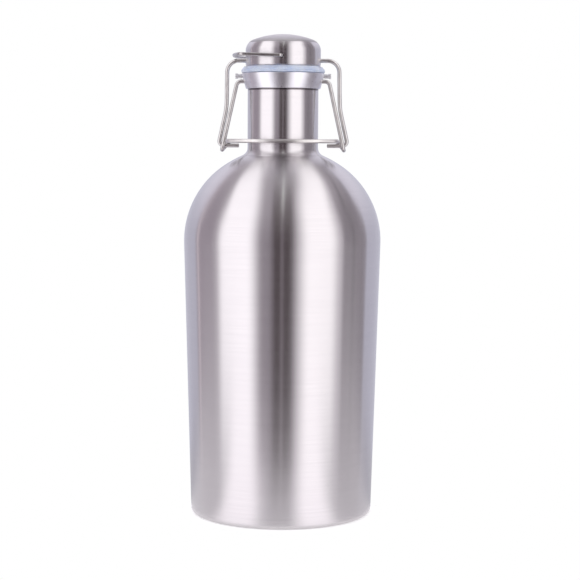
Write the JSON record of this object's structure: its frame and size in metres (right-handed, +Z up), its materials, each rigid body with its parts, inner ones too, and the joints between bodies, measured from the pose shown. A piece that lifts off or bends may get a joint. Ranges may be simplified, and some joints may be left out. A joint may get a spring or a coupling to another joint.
{
  "type": "growler",
  "caption": "Single-wall stainless steel growler bottle with a domed cap, silicone seal and wire swing-top closure.",
  "frame": {"origin": "on the ground at the middle of the base, on the bottle's axis", "axes": "+Z up along the bottle's axis; -Y is the front, where the locking lever's bar crosses the neck; the lift loop points to -X"},
  "size_m": [0.118, 0.118, 0.2875],
  "materials": {
    "steel_brushed": "circumferentially brushed",
    "steel_wire": "drawn and polished",
    "core_plastic": "moulded, matt",
    "silicone": "translucent, satin"
  },
  "bodies": {
    "bottle": {"body_shell": "steel_brushed", "neck_tube": "steel_brushed", "base_plate": "steel_brushed", "mouth_collar": "steel_brushed", "stud_left": "steel_wire", "stud_right": "steel_wire"},
    "lever": {"locking_lever": "steel_wire"},
    "bail": {"bail": "steel_wire"},
    "cap": {"cap_dome": "steel_brushed", "cap_core": "core_plastic", "seal_ring": "silicone"},
    "loop": {"lift_loop": "steel_wire"}
  },
  "joints": [
    {"name": "lever_swing", "type": "hinge", "parent": "bottle", "child": "lever", "pos_m": [0, 0, 0.2596], "axis": [-1, 0, 0], "range_deg": [0, 110]},
    {"name": "bail_swing", "type": "hinge", "parent": "lever", "child": "bail", "pos_m": [0, 0.0015, 0.2215], "axis": [-1, 0, 0], "range_deg": [-35.2, 0]},
    {"name": "cap_tilt", "type": "hinge", "parent": "bail", "child": "cap", "pos_m": [0, 0, 0.2719], "axis": [-1, 0, 0], "range_deg": [-74.8, 0]},
    {"name": "loop_swing", "type": "hinge", "parent": "cap", "child": "loop", "pos_m": [0, 0, 0.274], "axis": [0, 1, 0], "range_deg": [0, 174]}
  ],
  "couplings": [
    {"joint": "bail_swing", "follows": "lever_swing", "ratio": -0.32},
    {"joint": "cap_tilt", "follows": "lever_swing", "ratio": -0.68}
  ]
}
